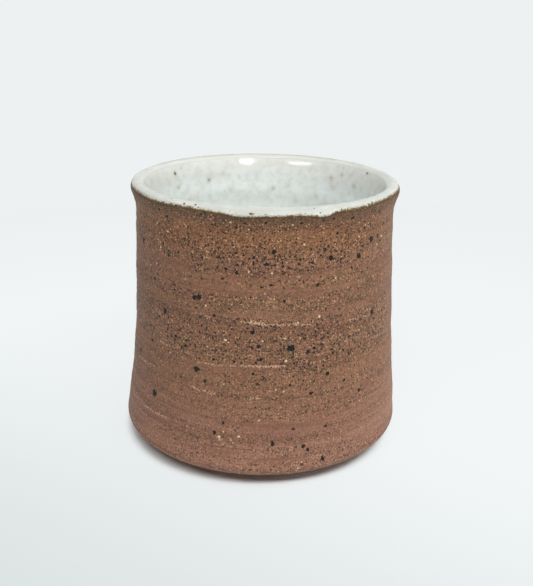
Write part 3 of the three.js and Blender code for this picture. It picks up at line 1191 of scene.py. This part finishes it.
def floor_material():
    shade = new_material("pale_floor")
    place = shade.place((1, 1, 1))
    cloud = shade.noise((6, 6, 6))
    tone = shade.mix(shade.ramp(cloud, 0.3, 0.7), FLOOR_COLOUR, FLOOR_CLOUD)
    matt = shade.node("BsdfDiffuse", {"Color": tone})
    # Painted light and shade: the glow is lighter towards the back right and darker towards the near left
    toward_painted_light = shade.vector("DOT_PRODUCT", {0: place, 1: PAINTED_LIGHT_WAY}, "Value")
    lit = shade.mix(shade.ramp(toward_painted_light, -0.15, 0.02), FLOOR_PAINTED_SHADE, FLOOR_PAINTED_LIGHT)
    far = shade.ramp(shade.vector("LENGTH", {0: place}, "Value"), FADE_START, FADE_END)
    glow = shade.node("Emission", {"Color": shade.mix(far, lit, BACKGROUND)})
    # Painted light: outside the off-centre contact circle the glow covers the floor's real shadow and so
    # shapes its edge
    from_contact = shade.vector("DISTANCE", {0: place, 1: CONTACT_CENTRE}, "Value")
    near = shade.ramp(from_contact, CONTACT_START, CONTACT_END, 0.0, GLOW_SHARE)
    share = shade.times(shade.larger(near, far), seen_directly(shade))
    mixed = shade.node("MixShader", {0: share, 1: matt.outputs[0], 2: glow.outputs[0]})
    return shade.finish("OutputMaterial", mixed.outputs[0])


def pale_floor():
    turns = columns_of(FLOOR_STEPS)
    rim = np.stack([FLOOR_REACH * np.cos(turns), FLOOR_REACH * np.sin(turns), 0 * turns], 1)
    mesh = bpy.data.meshes.new("pale_floor")
    mesh.from_pydata(rim.tolist(), [], [tuple(range(FLOOR_STEPS))])
    floor = bpy.data.objects.new("pale_floor", mesh)
    bpy.context.scene.collection.objects.link(floor)
    mesh.materials.append(floor_material())


# Light from all round: its least level, what is added at the sides, from behind the cup and from above,
# and how much more of the side and top light comes from the right
AMBIENT_COLOUR = linear(252, 254, 255)
AMBIENT_LEVEL = 0.02
AMBIENT_BESIDE = 0.22
AMBIENT_BEHIND = 0.3
AMBIENT_ABOVE = 1.0
RIGHT_BIAS = 1.0
ABOVE_BIAS = 0.5


def ambient_strength(shade):
    across, ahead, up = shade.apart(shade.node("TexCoord").outputs["Generated"])
    overhead = shade.math("POWER", shade.larger(up, 0.0), 4.0)
    overhead = shade.times(overhead, shade.scaled(across, ABOVE_BIAS, 1.0))
    beside = shade.math("POWER", shade.math("ABSOLUTE", across), 2.0)
    beside = shade.times(beside, shade.scaled(across, RIGHT_BIAS, 1.0))
    strength = shade.scaled(overhead, AMBIENT_ABOVE, AMBIENT_LEVEL)
    strength = shade.scaled(beside, AMBIENT_BESIDE, strength)
    return shade.scaled(shade.larger(ahead, 0.0), AMBIENT_BEHIND, strength)


def studio_world():
    world = bpy.data.worlds.new("studio")
    bpy.context.scene.world = world
    shade = Shader(world)
    shown = shade.node("Background", {"Color": BACKGROUND, "Strength": 1.0}).outputs[0]
    lit = {"Color": AMBIENT_COLOUR, "Strength": ambient_strength(shade)}
    light = shade.node("Background", lit).outputs[0]
    mixed = shade.node("MixShader", {0: seen_directly(shade), 1: light, 2: shown})
    shade.finish("OutputWorld", mixed.outputs[0])


def stand_at(holder, right, up, back, place):
    """Links an object and turns it so that its own axes lie along these three."""
    axes = np.stack([right, up, back], 1)
    rows = [[*row, at] for row, at in zip(axes, place)]
    bpy.context.scene.collection.objects.link(holder)
    holder.matrix_world = Matrix([*rows, [0, 0, 0, 1]])


# The lamps face a point this share of the way up the cup
LAMP_AIM = 0.7


def softbox(name, azimuth, elevation, distance, width, height, radiance, lights_matt):
    """A lamp that faces the cup: azimuth 0 is on the camera's side, and 90 is to its right.
    It lights matt surfaces, or else it shows as a reflection in glossy ones."""
    lamp = bpy.data.lights.new(name, "AREA")
    lamp.shape = "ELLIPSE"
    lamp.size = width
    lamp.size_y = height
    lamp.energy = radiance * math.pi * (math.pi / 4 * width * height)
    turn = math.radians(azimuth - 90)
    rise = math.radians(elevation)
    back = np.array([math.cos(rise) * math.cos(turn), math.cos(rise) * math.sin(turn), math.sin(rise)])
    side = np.cross([0, 0, 1], back)
    side = side / np.linalg.norm(side)
    place = np.array([0, 0, CUP_HEIGHT * MM * LAMP_AIM]) + back * distance
    holder = bpy.data.objects.new(name, lamp)
    holder.visible_diffuse = lights_matt
    holder.visible_glossy = not lights_matt
    stand_at(holder, side, np.cross(back, side), back, place)


def studio_lamps():
    softbox("key_lamp", azimuth=12, elevation=54, distance=1.0, width=1.5, height=0.34,
            radiance=8.6, lights_matt=True)
    softbox("edge_lamp", azimuth=110, elevation=-1, distance=1.0, width=0.7, height=0.07,
            radiance=31.0, lights_matt=True)
    softbox("right_lamp", azimuth=21, elevation=28, distance=0.9, width=0.24, height=0.2,
            radiance=11.0, lights_matt=False)
    softbox("left_lamp", azimuth=-38, elevation=26, distance=0.9, width=0.42, height=0.12,
            radiance=10.0, lights_matt=False)


def studio_camera():
    camera = bpy.data.cameras.new("photo_camera")
    camera.sensor_width = SENSOR_WIDTH
    camera.lens = FOCAL_PIXELS * SENSOR_WIDTH / IMAGE_HEIGHT
    camera.clip_start = 0.01
    holder = bpy.data.objects.new("photo_camera", camera)
    right, up, ahead = camera_axes()
    stand_at(holder, right, up, -ahead, CAMERA_PLACE * MM)
    bpy.context.scene.camera = holder


def dress(piece, material, node=None):
    """Gives a piece its material and body, and hides the CAD node that it stands for, if one is named."""
    piece.data.materials.append(material)
    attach(piece, "root")
    if node:
        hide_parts(node)


studio_camera()
dress(stoneware_body(), clay_material(), "stoneware_body")
dress(liner_glaze(), liner_material(), "liner_glaze")
dress(rim_glaze(), rim_material(), "rim_glaze")
iron_spots = domes("iron_spots", photographed_spots() + hidden_spots(), SPOT_HEIGHT, 73)
dress(iron_spots, spot_material("iron_spot", IRON_COLOURS))
pale_grains = domes("pale_grains", photographed_grains() + hidden_grains(), GRAIN_HEIGHT, 79)
dress(pale_grains, spot_material("pale_grain", GRAIN_COLOURS))

pale_floor()
studio_world()
studio_lamps()
bpy.context.scene.view_settings.view_transform = "Standard"
